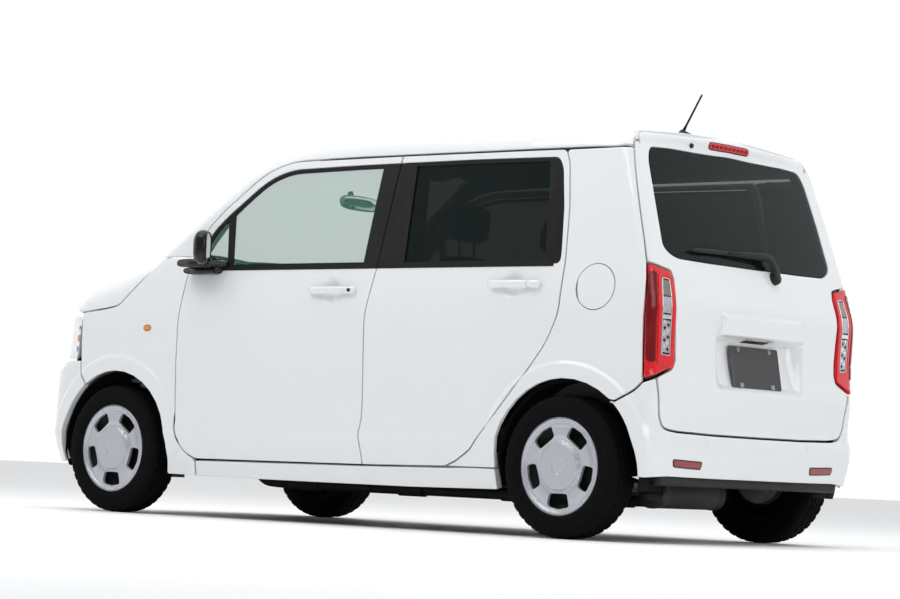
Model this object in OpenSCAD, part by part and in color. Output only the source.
// Small family car of the kei class, full size, in millimetres.
// Frame: +X forward, +Y to the car's left, +Z up, floor at z = 0, origin under the middle.

/* [Main sizes] */
// overall length over the bumpers
car_length = 3395; // [3300:1:3400]
// wheelbase
wheelbase = 2480; // [2400:1:2540]
// rear overhang behind the rear axle
rear_overhang = 425; // [360:1:480]
// track, both axles
track = 1305; // [1280:1:1320]
// gap between outer panels
panel_gap = 7; // [6:0.5:10]

/* [Wheels] */
// loaded tyre radius
tyre_r = 275; // [260:1:290]
// tyre section width
tyre_w = 155; // [145:5:165]
// wheel rim flange radius
rim_r = 194; // [180:1:200]
// wheel bolt circle diameter
bolt_pcd = 100; // [98:1:114]
// wheel bolt count
bolt_count = 4; // [4:1:5]
// wheel bolt hole radius
bolt_r = 6.5; // [6:0.1:8]
// wheel arch opening radius
arch_r = 334; // [320:1:350]
// steering pivot distance from the middle
kingpin_y = 552; // [540:1:570]

/* [Doors and lids] */
// door thickness below the glass line
door_t = 84; // [60:1:110]
// door frame thickness beside the glass
frame_t = 44; // [30:1:60]
// height of the glass line
belt_z = 1045; // [1000:1:1080]
// top of the doors
door_top = 1500; // [1480:1:1520]
// fuel lid radius
lid_r = 86; // [70:1:95]
// fuel lid centre along the car
lid_x = -1403; // [-1430:1:-1380]
// fuel lid centre height
lid_z = 962; // [900:1:1000]

/* [Fastenings] */
// distance between the number plate bolts
plate_bolts = 210; // [200:1:220]
// height of the number plate bolts
plate_z = 762; // [740:1:780]
// number plate bolt hole radius
plate_bolt_r = 3; // [2.5:0.1:4]

/* [Cabin] */
// cabin floor height
floor_z = 262; // [230:1:300]
// seat cushion top height
seat_z = 560; // [520:1:620]
// steering wheel radius
steer_r = 180; // [170:1:190]

/* [Hidden] */
$fn = 48;
x_back = -car_length / 2;
x_front = car_length / 2;
rear_axle_x = x_back + rear_overhang;
front_axle_x = rear_axle_x + wheelbase;
half_track = track / 2;
half_gap = panel_gap / 2;

// colours
c_body = [0.93, 0.93, 0.91];
c_black = [0.06, 0.06, 0.065];
c_glass = [0.35, 0.45, 0.42, 0.4];
c_dark_glass = [0.08, 0.09, 0.09, 0.5];
c_cloth = [0.45, 0.43, 0.40];
c_metal = [0.45, 0.46, 0.48];
c_silver = [0.75, 0.76, 0.78];
c_red = [0.55, 0.03, 0.04];

// side surface: height, half width
side_tab = [[150, 690], [190, 704], [250, 718], [340, 733], [430, 736], [600, 737.5], [850, 731], [1000, 720], [1060, 712], [1500, 645], [1545, 628], [1580, 604]];
function front_taper(x) = x > 800 ? 16 * pow((x - 800) / 700, 3) : 0;
function rear_taper(x) = x < -900 ? 34 * pow((-900 - x) / 740, 2) : 0;
function side_y(x, z) = lookup(z, side_tab) - front_taper(x) - rear_taper(x);

// front door leading edge, door split, rear door trailing edge: height, x
door_lead = [[190, 640], [240, 712], [285, 784], [350, 820], [651, 830], [836, 823], [1018, 796], [1130, 765], [1229, 712], [1309, 620], [1415, 478], [1462, 400], [1490, 310], [1500, 262]];
door_split = [[240, -254], [365, -243], [434, -255], [661, -248], [857, -248], [1045, -286], [1507, -339]];
door_trail = [[240, -640], [259, -690], [281, -751], [326, -825], [450, -939], [639, -1100], [748, -1190], [800, -1222], [856, -1240], [1061, -1248], [1273, -1235], [1451, -1205], [1500, -1185]];
// front and rear window cut: height, front x, rear x
front_win = [[1054, 742, -232], [1130, 722, -240], [1215, 668, -250], [1300, 572, -260], [1385, 456, -270], [1440, 370, -277], [1472, 250, -281]];
rear_win = [[1054, -338, -1165], [1075, -342, -1208], [1130, -348, -1216], [1273, -360, -1200], [1420, -378, -1176], [1472, -384, -1150]];
function col(tab, k) = [for (r = tab) [r[0], r[k]]];

// closed shell between an outer and an inner grid of points
function quad(a, b, c, d) = [[a, b, c], [a, c, d]];
module shell(o, i) {
  R = len(o) - 1;
  C = len(o[0]) - 1;
  N = (R + 1) * (C + 1);
  function oi(r, c) = r * (C + 1) + c;
  function ii(r, c) = N + r * (C + 1) + c;
  f = concat(
    [for (r = [0 : R - 1], c = [0 : C - 1]) each quad(oi(r, c), oi(r + 1, c), oi(r + 1, c + 1), oi(r, c + 1))],
    [for (r = [0 : R - 1], c = [0 : C - 1]) each quad(ii(r, c), ii(r, c + 1), ii(r + 1, c + 1), ii(r + 1, c))],
    [for (c = [0 : C - 1]) each quad(oi(0, c), oi(0, c + 1), ii(0, c + 1), ii(0, c))],
    [for (c = [0 : C - 1]) each quad(oi(R, c + 1), oi(R, c), ii(R, c), ii(R, c + 1))],
    [for (r = [0 : R - 1]) each quad(oi(r + 1, 0), oi(r, 0), ii(r, 0), ii(r + 1, 0))],
    [for (r = [0 : R - 1]) each quad(oi(r, C), oi(r + 1, C), ii(r + 1, C), ii(r, C))]);
  polyhedron(concat([for (r = o) each r], [for (r = i) each r]), f);
}
// side panel on the left: zs heights, lead and trail edge tables, lower and upper thickness, draft, depth below the skin
module side_panel(zs, lead, trail, n, t_low, t_up, draft = 12, deep = 0) {
  L = len(zs) - 1;
  function zi(k) = zs[k] + (k == 0 ? draft * 0.7 : k == L ? -draft * 0.7 : 0);
  function px(z, u, d) = let(a = lookup(z, lead) - d, b = lookup(z, trail) + d) a + (b - a) * u;
  shell([for (z = zs) [for (c = [0 : n]) let(x = px(z, c / n, 0)) [x, side_y(x, z) - deep, z]]],
    [for (k = [0 : L]) [for (c = [0 : n]) let(z = zi(k), x = px(z, c / n, draft)) [x, side_y(x, z) - deep - (z < belt_z - 1 ? t_low : t_up), z]]]);
}
function shift_tab(tab, d) = [for (r = tab) [r[0], r[1] + d]];
module both() { children(); mirror([0, 1, 0]) children(); }
// prism through the left side from a window table
module window_cut(tab, grow) {
  n = len(tab) - 1;
  translate([0, 900, 0]) rotate([90, 0, 0]) linear_extrude(500)
    polygon(concat([for (r = tab) [r[1] + grow, r[0]]], [for (k = [n : -1 : 0]) [tab[k][2] - grow, tab[k][0]]]));
}
module box(a, b) { translate(a) cube([b[0] - a[0], b[1] - a[1], b[2] - a[2]]); }
// rod of radius r between two points
module rod(a, b, r) {
  d = b - a;
  l = norm(d);
  translate(a) rotate([0, acos(d[2] / l), atan2(d[1], d[0])]) cylinder(r = r, h = l);
}

// ---- doors ----
front_zs = [244, 285, 350, 430, 650, 850, 950, 1044, 1046, 1130, 1229, 1309, 1415, 1462, 1500];
rear_zs = [256, 281, 326, 450, 545, 639, 748, 800, 856, 950, 1044, 1046, 1150, 1273, 1400, 1451, 1500];
// handle bars: x from, x to, height
handles = [[59, -190, 951], [-898, -1150, 970]];
module door_handle(k) {
  h = handles[k];
  xm = (h[0] + h[1]) / 2;
  y = side_y(xm, h[2]);
  translate([0, y + 14, h[2]]) rotate([0, -90, 0]) translate([0, 0, -h[0]]) cylinder(r = 12, h = h[0] - h[1]);
  for (x = [h[0] - 14, h[1] + 22]) translate([x, y - 20, h[2]]) rotate([-90, 0, 0]) cylinder(r = 10, h = 34);
}
module front_door() {
  difference() {
    side_panel(front_zs, shift_tab(door_lead, -half_gap), shift_tab(door_split, half_gap), 6, door_t, frame_t);
    window_cut(front_win, 0);
    translate([-50, side_y(-50, 951) + 6, 951]) rotate([90, 0, 0]) cylinder(r = 52, h = 26);
  }
  door_handle(0);
}
module rear_door() {
  difference() {
    side_panel(rear_zs, shift_tab(door_split, -half_gap), shift_tab(door_trail, half_gap), 6, door_t, frame_t);
    window_cut(rear_win, 0);
    translate([-1010, side_y(-1010, 970) + 6, 970]) rotate([90, 0, 0]) cylinder(r = 52, h = 26);
  }
  door_handle(1);
}
module glass_plate(tab) {
  side_panel([for (r = tab) r[0] + (r[0] < 1060 ? 1.5 : r[0] > 1470 ? -1.5 : 0)], shift_tab(col(tab, 1), -1.5), shift_tab(col(tab, 2), 1.5), 5, 5, 5, 0, 14);
}
// door mirror: arm on the door skin and a rounded housing
module mirror_part() {
  y = side_y(700, 1030);
  box([640, y + 4, 1010], [764, y + 54, 1048]);
  translate([650, y + 56, 1030]) cylinder(r = 22, h = 60);
  translate([612, y + 36, 1128]) rotate([-90, 0, 0]) linear_extrude(146) offset(r = 22) square([66, 108], center = true);
}

// ---- fixed outer panels ----
module sill_left() {
  side_panel([168, 185, 215, 237], [[168, 702], [237, 702]], [[168, -942], [237, -942]], 5, 110, 110, 0);
  box([-940, 540, 172], [690, 612, 330]);
}
fender_lead = [[190, 1200], [450, 1250], [560, 1380], [607, 1436], [858, 1436], [866, 1424], [893, 1206], [1033, 1040], [1140, 892]];
fender_trail = concat([[190, 711], [244, 718]], [for (k = [2 : 7]) [door_lead[k][0], door_lead[k][1] + half_gap]], [[1140, 763 + half_gap]]);
module fender_left() {
  difference() {
    side_panel([190, 285, 350, 450, 560, 607, 650, 750, 858, 866, 893, 960, 1033, 1090, 1140],
      shift_tab(fender_lead, -half_gap), fender_trail, 6, 34, 34, 4);
    translate([front_axle_x - 8, 0, tyre_r]) rotate([-90, 0, 0]) cylinder(r = arch_r, h = 900, $fn = 72);
  }
}
quarter_end = [[250, -1290], [450, -1290], [530, -1500], [575, -1580], [616, -1590], [900, -1590], [1046, -1560], [1062, -1562], [1150, -1558], [1264, -1534], [1439, -1482], [1507, -1460]];
quarter_zs = [250, 281, 326, 450, 530, 575, 616, 748, 800, 856, 950, 1046, 1062, 1150, 1273, 1451, 1506];
module quarter_left(lid = true) {
  difference() {
    side_panel(quarter_zs, shift_tab(door_trail, -half_gap), quarter_end, 6, 74, 50, 44);
    translate([rear_axle_x - 10, 0, tyre_r]) rotate([-90, 0, 0]) cylinder(r = arch_r, h = 900, $fn = 72);
    if (lid) translate([lid_x, side_y(lid_x, lid_z) - 52, lid_z]) rotate([-90 + 4, 0, 0]) cylinder(r = lid_r + panel_gap, h = 120, $fn = 64);
  }
}
// roof: along the car, height on the centre line
roof_tab = [[-1450, 1596], [-1350, 1613], [-1000, 1642], [-500, 1657], [-100, 1657], [150, 1642], [300, 1615], [360, 1596]];
roof_xs = [360, 300, 150, -100, -500, -1000, -1350, -1450];
// across the roof: fraction of the half width, drop below the centre line
roof_drop = [[0, 0], [0.35, 7], [0.65, 26], [0.85, 52], [0.95, 82], [1, 128]];
roof_us = [-1, -0.95, -0.85, -0.65, -0.35, 0, 0.35, 0.65, 0.85, 0.95, 1];
function roof_half(x) = side_y(x, 1509) + 0.5;
function roof_z(x, u) = let(zc = lookup(x, roof_tab), k = (zc - 1508) / 128) zc - lookup(abs(u), roof_drop) * k;
module roof_panel() {
  color(c_body) {
    shell([for (x = roof_xs) [for (u = roof_us) [x, u * roof_half(x), roof_z(x, u)]]],
      [for (x = roof_xs) [for (u = roof_us) [x, u * (roof_half(x) - 26), roof_z(x, u) - (abs(u) > 0.99 ? 0.2 : 34)]]]);
    both() hull() {
      box([-1440, 540, 1508], [-1438, 575, 1536]);
      box([300, 540, 1508], [302, 575, 1536]);
    }
  }
}
module pillars() {
  color(c_body) both() {
    // windscreen pillar
    side_panel([1147, 1229, 1309, 1415, 1462, 1500], [[1147, 958], [1281, 768], [1393, 604], [1462, 500], [1500, 430]], shift_tab(door_lead, half_gap), 2, 52, 52, 5);
    // door hinge pillar
    translate([700, 545, 336]) cube([120, 70, 740]);
    // middle pillar
    hull() {
      box([-330, 545, 336], [-180, 606, 340]);
      box([-360, 535, 1040], [-230, 600, 1046]);
    }
    hull() {
      box([-360, 535, 1048], [-230, 600, 1052]);
      box([-392, 535, 1494], [-292, 576, 1500]);
    }
  }
}
// back of the car on the centre line: x, height, inner shift in x and z, inner shift sideways
gate_rows = [[-1691, 428, 60, 0, 12], [-1692, 470, 60, 0, 12], [-1690, 600, 60, 0, 12], [-1690, 628, 60, 0, 12], [-1690, 644, 60, 0, 12], [-1688, 800, 60, 0, 12], [-1688, 890, 60, 0, 12], [-1668, 985, 60, 0, 12], [-1653, 1040, 60, 0, 12], [-1648, 1056, 60, 0, 64], [-1634, 1100, 60, 0, 64], [-1568, 1300, 56, -4, 64], [-1486, 1540, 52, -24, 60], [-1494, 1556, 54, -34, 50], [-1496, 1582, 46, -46, 40], [-1457, 1594, -2, -48, 20]];
// half width of the tailgate: height, half width
gate_half = [[428, 590], [470, 622], [600, 640], [628, 640], [644, 540], [1040, 540], [1056, 664], [1300, 652], [1492, 622], [1540, 610], [1556, 606], [1594, 598]];
// plan shape of the back: fraction of the half width, forward shift
plan_tab = [[0, 0], [0.3, 3], [0.6, 9], [0.85, 20], [0.95, 34], [1, 62]];
gate_us = [1, 0.95, 0.85, 0.6, 0.3, 0, -0.3, -0.6, -0.85, -0.95, -1];
function gate_plan(y) = lookup(abs(y) / 700, plan_tab);
function gate_top_drop(z, u) = z > 1500 ? lookup(abs(u), roof_drop) * 0.62 * (z - 1500) / 94 : 0;
module gate_shell() {
  function w(z) = lookup(z, gate_half);
  function fwd(y, z) = z > 1590 ? 0 : gate_plan(y);
  shell([for (g = gate_rows) [for (u = gate_us) [g[0] + fwd(u * w(g[1]), g[1]), u * w(g[1]), g[1] - gate_top_drop(g[1], u)]]],
    [for (g = gate_rows) [for (u = gate_us) let(v = u * (w(g[1]) - g[4])) [g[0] + g[2] + fwd(v, g[1]), v, g[1] + g[3] - gate_top_drop(g[1], u)]]]);
}
// tailgate window: height, half width
gate_win = [[1080, 500], [1126, 562], [1300, 548], [1440, 532], [1490, 515], [1512, 470]];
module tailgate() {
  color(c_body) difference() {
    gate_shell();
    translate([-1800, 0, 0]) rotate([90, 0, 90]) linear_extrude(400)
      polygon(concat([for (g = gate_win) [g[1], g[0]]], [for (k = [len(gate_win) - 1 : -1 : 0]) [-gate_win[k][1], gate_win[k][0]]]));
    // number plate recess
    box([-1720, -236, 598], [-1664, 236, 800]);
    // number plate bolt holes
    for (s = [-1, 1]) translate([-1666, s * plate_bolts / 2, plate_z]) rotate([0, 90, 0]) cylinder(r = plate_bolt_r, h = 24);
  }
}
function gate_x(z) = lookup(z, [for (g = [0 : 12]) [gate_rows[g][1], gate_rows[g][0]]]);
module tailgate_glass() {
  zs = [1081.5, 1126, 1300, 1440, 1490, 1510.5];
  color(c_dark_glass) shell([for (z = zs) [for (u = gate_us) let(y = u * (lookup(z, gate_win) - 1.5)) [gate_x(z) + gate_plan(y) + 12, y, z]]],
    [for (z = zs) [for (u = gate_us) let(y = u * (lookup(z, gate_win) - 1.5)) [gate_x(z) + gate_plan(y) + 17, y, z]]]);
}
// bumper outline in plan: half width, distance in from the end, top height
rear_plan = [[728, 175, 520], [726, 140, 542], [716, 60, 602], [690, 26, 640], [652, 16, 640], [634, 14, 475], [604, 12, 417], [350, 4, 417], [0, 0, 417]];
front_plan = [[722, 190, 598], [720, 130, 628], [705, 70, 640], [672, 38, 640], [600, 22, 640], [400, 8, 620], [0, 0, 620]];
bumper_vs = [0, 0.25, 0.6, 0.85, 1];
// set back of the bumper face: fraction of its height, set back
bumper_face = [[0, 26], [0.25, 8], [0.6, 0], [0.85, 3], [1, 10]];
function ring(plan, sgn, v, z0, d) = let(n = len(plan) - 1, half = [for (p = plan) [sgn * (car_length / 2 - p[1] - (lookup(v, bumper_face) * (p[0] > 715 ? 0.1 : 1)) - d * (p[0] < 700 ? 1 : 0.2)), p[0] - (v == 0 ? 14 : 0) - d * (p[0] > 680 ? 1 : 0.15), z0 + v * (p[2] - z0)]])
  concat(half, [for (k = [n - 1 : -1 : 0]) [half[k][0], -half[k][1], half[k][2]]]);
module bumper(plan, sgn, z0, d) {
  o = [for (v = bumper_vs) ring(plan, sgn, v, z0, 0)];
  i = [for (v = bumper_vs) ring(plan, sgn, v, z0, d)];
  if (sgn < 0) shell(o, i); else mirror([1, 0, 0]) shell([for (r = o) [for (p = r) [-p[0], p[1], p[2]]]], [for (r = i) [for (p = r) [-p[0], p[1], p[2]]]]);
}
module rear_bumper() {
  color(c_body) difference() {
    bumper(rear_plan, -1, 212, 26);
    translate([rear_axle_x - 10, 0, tyre_r]) rotate([90, 0, 0]) cylinder(r = arch_r, h = 2000, center = true, $fn = 72);
  }
}
module front_bumper() {
  color(c_body) difference() {
    bumper(front_plan, 1, 200, 30);
    translate([front_axle_x - 8, 0, tyre_r]) rotate([90, 0, 0]) cylinder(r = arch_r, h = 2000, center = true, $fn = 72);
    box([1500, -330, 262], [1800, 330, 372]);
  }
}
module grille() {
  color(c_black) {
    translate([1596, -372, 664]) cube([40, 744, 176]);
    translate([1618, -326, 268]) cube([16, 652, 98]);
  }
}
module lamps() {
  color(c_red) both() {
    // tail lamp at the corner
    shell([for (z = [648, 700, 850, 1000, 1036]) [for (p = [[702, -1598], [694, -1640], [684, -1660], [655, -1672], [560, -1674], [547, -1672]]) [p[1] + (z > 900 ? (z - 900) * 0.2 : 0), p[0] - (z > 900 ? (z - 900) * 0.04 : 0), z]]],
      [for (z = [648, 700, 850, 1000, 1036]) [for (p = [[650, -1598], [646, -1601], [642, -1604], [636, -1610], [570, -1610], [560, -1606]]) [p[1] + (z > 900 ? (z - 900) * 0.2 : 0), p[0] - (z > 900 ? (z - 900) * 0.04 : 0), z]]]);
    // headlamp
    hull() {
      box([1450, 500, 668], [1480, 690, 842]);
      box([1560, 384, 668], [1638, 470, 842]);
      box([1560, 560, 668], [1596, 610, 842]);
    }
  }
}
// bonnet: x at the middle, x at the edge, centre height, edge height, edge half width
bonnet_rows = [[1080, 1046, 1106, 1037, 703], [1130, 1110, 1096, 984, 707], [1206, 1200, 1079, 907, 708], [1320, 1320, 1050, 885, 705], [1426, 1420, 1014, 873, 697], [1520, 1490, 962, 869, 664], [1590, 1545, 905, 867, 600], [1636, 1590, 868, 862, 520]];
// across the bonnet: fraction of the half width, fraction of the drop
bonnet_us = [-1, -0.97, -0.88, -0.6, -0.3, 0, 0.3, 0.6, 0.88, 0.97, 1];
bonnet_drop = [[0, 0], [0.3, 0.03], [0.6, 0.1], [0.88, 0.34], [0.97, 0.64], [1, 1]];
module bonnet() {
  L = len(bonnet_rows) - 1;
  function zz(b, u) = b[2] - (b[2] - b[3]) * lookup(abs(u), bonnet_drop);
  function xx(b, u) = b[0] + (b[1] - b[0]) * u * u;
  color(c_body) mirror([1, 0, 0]) shell([for (b = bonnet_rows) [for (u = bonnet_us) [-xx(b, u), -u * b[4], zz(b, u)]]],
    [for (k = [0 : L]) let(b = bonnet_rows[k]) [for (u = bonnet_us) [-xx(b, u) + (k == L ? 14 : k == 0 ? -6 : 0), -u * (b[4] - 26), zz(b, u) - (abs(u) > 0.98 ? -3 : 22)]]]);
}
module cowl_panel() {
  color(c_black) {
    // bulkhead between engine and cabin, and the cowl below the windscreen
    box([856, -388, 300], [882, 388, 1044]);
    box([856, -600, 1046], [1034, 600, 1088]);
  }
}
// windscreen: height, x at the middle, half width, set back at the edge, drop at the edge
screen_rows = [[1118, 1062, 636, 70, 0], [1250, 862, 622, 56, 4], [1400, 634, 600, 42, 14], [1530, 440, 570, 24, 30], [1574, 374, 552, 6, 38]];
module windscreen() {
  us = [1, 0.8, 0.4, 0, -0.4, -0.8, -1];
  color(c_glass) mirror([1, 0, 0]) shell([for (r = screen_rows) [for (u = us) [-(r[1] - r[3] * u * u), u * r[2], r[0] + 8 - r[4] * u * u]]],
    [for (r = screen_rows) [for (u = us) [-(r[1] - r[3] * u * u - 5), u * r[2], r[0] + 3 - r[4] * u * u]]]);
}
module antenna() {
  color(c_black) {
    translate([-1262, 0, 1622.6]) cylinder(r1 = 22, r2 = 12, h = 20);
    rod([-1266, 0, 1636], [-1350, 0, 1786], 3.5);
  }
}

// ---- floor and running gear ----
module floor_pan() {
  color(c_black) {
    difference() {
      box([-940, -538, floor_z - 14], [840, 538, floor_z]);
      for (s = [-1, 1]) translate([front_axle_x, s * 500, tyre_r]) rotate([90, 0, 0]) cylinder(r = arch_r + 20, h = 300, center = true);
    }
    box([-700, -70, floor_z - 20], [800, 70, floor_z + 70]);
    box([-940, -458, floor_z - 14], [-920, 458, 419]);
    box([-1606, -500, 420], [-920, 500, 438]);
    box([-1606, -500, 280], [-1588, 500, 421]);
  }
}
module arch_shell(x, r, y0, y1) {
  translate([x, y0, tyre_r]) rotate([-90, 0, 0]) difference() {
    cylinder(r = r + 8, h = y1 - y0, $fn = 72);
    translate([0, 0, 8]) cylinder(r = r, h = y1, $fn = 72);
    translate([0, 0, -1]) cylinder(r = 190, h = 40, $fn = 72);
    translate([-500, 60, -10]) cube([1000, 1000, 900]);
  }
}
module wheel_housings() {
  color(c_black) both() {
    arch_shell(front_axle_x - 8, 342, 398, 640);
    arch_shell(rear_axle_x - 10, 326, 510, 622);
  }
}
module dashboard() {
  color(c_black) difference() {
    union() {
      hull() {
        box([560, -536, 700], [840, 536, 760]);
        box([540, -536, 900], [840, 536, 960]);
        box([640, -536, 1000], [840, 536, 1030]);
      }
      translate([560, -470, 955]) cube([120, 260, 75]);
    }
    translate([530, -160, 720]) cube([40, 320, 160]);
  }
}
// seats: side of the car
module front_seats() {
  color(c_cloth) for (s = [-1, 1]) translate([0, s * 300, 0]) {
    hull() for (k = [[-250, 235, 400, 520], [-240, 225, 380, seat_z]]) box([k[0], -k[1], k[2]], [270, k[1], k[3]]);
    translate([-250, 0, seat_z + 8]) rotate([0, -16, 0]) translate([-60, -225, 0]) cube([110, 450, 560]);
    translate([-440, -120, 1165]) rotate([0, -12, 0]) cube([90, 240, 170]);
    translate([-200, -180, floor_z + 2]) cube([420, 360, 110]);
  }
}
module rear_seat() {
  color(c_cloth) {
    translate([-1010, -502, 462]) cube([430, 1004, 120]);
    for (s = [-1, 1]) translate([-1030, s * 262, 590]) rotate([0, -18, 0]) {
      translate([-50, -250, 0]) cube([110, 500, 500]);
      translate([-35, -110, 508]) cube([80, 220, 150]);
    }
  }
}
module steering_wheel() {
  color(c_black) translate([392, -300, 872]) rotate([0, -62, 0]) {
    rotate_extrude($fn = 48) translate([steer_r - 14, 0]) circle(r = 14, $fn = 20);
    cylinder(r = 62, h = 40, center = true);
    for (a = [0, 90, 180]) rotate(a) translate([30, -20, -9]) cube([steer_r - 44, 40, 18]);
    translate([0, 0, -110]) cylinder(r = 20, h = 100);
  }
}
module engine_block() {
  color(c_metal) translate([960, -330, 330]) cube([520, 660, 480]);
}
module front_suspension() {
  color(c_metal) {
    translate([1020, -330, 200]) cube([180, 660, 70]);
    both() {
      hull() {
        box([1150, 325, 160], [1260, 345, 182]);
        translate([front_axle_x, kingpin_y, 160]) cylinder(r = 30, h = 22);
      }
      translate([front_axle_x, kingpin_y - 6, 412]) cylinder(r = 26, h = 180);
      translate([front_axle_x, kingpin_y - 40, 640]) cylinder(r = 70, h = 210);
    }
  }
}
module rear_axle() {
  color(c_metal) {
    translate([-1130, -496, 230]) rotate([-90, 0, 0]) cylinder(r = 45, h = 992);
    both() {
      hull() {
        box([-1000, 450, 230], [-960, 500, 290]);
        box([rear_axle_x - 30, 460, 245], [rear_axle_x + 30, 503, 305]);
      }
      translate([rear_axle_x, 495, tyre_r]) rotate([-90, 0, 0]) cylinder(r = 48, h = 118);
      translate([rear_axle_x, 495, tyre_r]) rotate([-90, 0, 0]) cylinder(r = 24, h = 167);
      translate([rear_axle_x - 40, 455, 340]) cylinder(r = 40, h = 80);
    }
  }
}
module fuel_tank() {
  color(c_black) translate([-930, -450, 150]) cube([640, 600, 92]);
}
module exhaust() {
  color(c_metal) {
    rod([880, 120, 152], [-1510, 300, 152], 20);
    translate([-1528, 60, 196]) rotate([-90, 0, 0]) cylinder(r = 66, h = 420);
  }
}

// ---- wheels ----
module wheel_place(x, s) { translate([x, s * half_track, tyre_r]) rotate([-90 * s, 0, 0]) children(); }
module tyre() {
  color(c_black) rotate_extrude($fn = 96) polygon([[rim_r - 8, -70], [rim_r + 12, -76], [tyre_r - 30, -tyre_w / 2], [tyre_r - 8, -66], [tyre_r, -54], [tyre_r, 54], [tyre_r - 8, 66], [tyre_r - 30, tyre_w / 2], [rim_r + 12, 76], [rim_r - 8, 70]]);
}
module wheel() {
  color(c_silver) difference() {
    union() {
      rotate_extrude($fn = 96) polygon([[rim_r - 24, -72], [rim_r - 9, -72], [rim_r - 9, 72], [rim_r - 24, 72]]);
      translate([0, 0, 34]) cylinder(r = rim_r - 20, h = 20, $fn = 72);
      translate([0, 0, -30]) cylinder(r = 66, h = 70);
    }
    for (k = [0 : bolt_count - 1]) rotate(k * 360 / bolt_count + 45) translate([bolt_pcd / 2, 0, -40]) cylinder(r = bolt_r, h = 200, $fn = 32);
    translate([0, 0, -40]) cylinder(r = 28, h = 55);
  }
}
module knuckle(s) {
  color(c_metal) {
    translate([front_axle_x, s * kingpin_y, 190]) cylinder(r = 22, h = 214);
    translate([front_axle_x, s * kingpin_y, tyre_r]) rotate([-90 * s, 0, 0]) cylinder(r = 44, h = 62);
    translate([front_axle_x, s * kingpin_y, tyre_r]) rotate([-90 * s, 0, 0]) cylinder(r = 24, h = 110);
  }
}
module fuel_lid_part() {
  color(c_body) translate([lid_x, side_y(lid_x, lid_z) - 12, lid_z]) rotate([-90 + 4, 0, 0]) cylinder(r = lid_r, h = 10, $fn = 64);
}

module sill_panels() { color(c_body) both() sill_left(); }
module front_fenders() { color(c_body) both() fender_left(); }
module quarter_panels() { color(c_body) { quarter_left(); mirror([0, 1, 0]) quarter_left(false); } }
module right() { mirror([0, 1, 0]) children(); }

floor_pan();
sill_panels();
front_fenders();
pillars();
quarter_panels();
roof_panel();
cowl_panel();
front_bumper();
rear_bumper();
grille();
lamps();
windscreen();
wheel_housings();
dashboard();
front_seats();
rear_seat();
engine_block();
front_suspension();
rear_axle();
fuel_tank();
exhaust();
antenna();
color(c_body) front_door();  // front_door_left
color(c_glass) glass_plate(front_win);  // front_glass_left
color(c_black) mirror_part();  // mirror_left
color(c_body) rear_door();  // rear_door_left
color(c_dark_glass) glass_plate(rear_win);  // rear_glass_left
color(c_body) right() front_door();  // front_door_right
color(c_glass) right() glass_plate(front_win);  // front_glass_right
color(c_black) right() mirror_part();  // mirror_right
color(c_body) right() rear_door();  // rear_door_right
color(c_dark_glass) right() glass_plate(rear_win);  // rear_glass_right
tailgate();
tailgate_glass();
bonnet();
fuel_lid_part();  // fuel_lid
steering_wheel();
knuckle(1);  // knuckle_left
knuckle(-1);  // knuckle_right
wheel_place(front_axle_x, 1) tyre();  // tyre_front_left
wheel_place(front_axle_x, 1) wheel();  // wheel_front_left
wheel_place(front_axle_x, -1) tyre();  // tyre_front_right
wheel_place(front_axle_x, -1) wheel();  // wheel_front_right
wheel_place(rear_axle_x, 1) tyre();  // tyre_rear_left
wheel_place(rear_axle_x, 1) wheel();  // wheel_rear_left
wheel_place(rear_axle_x, -1) tyre();  // tyre_rear_right
wheel_place(rear_axle_x, -1) wheel();  // wheel_rear_right
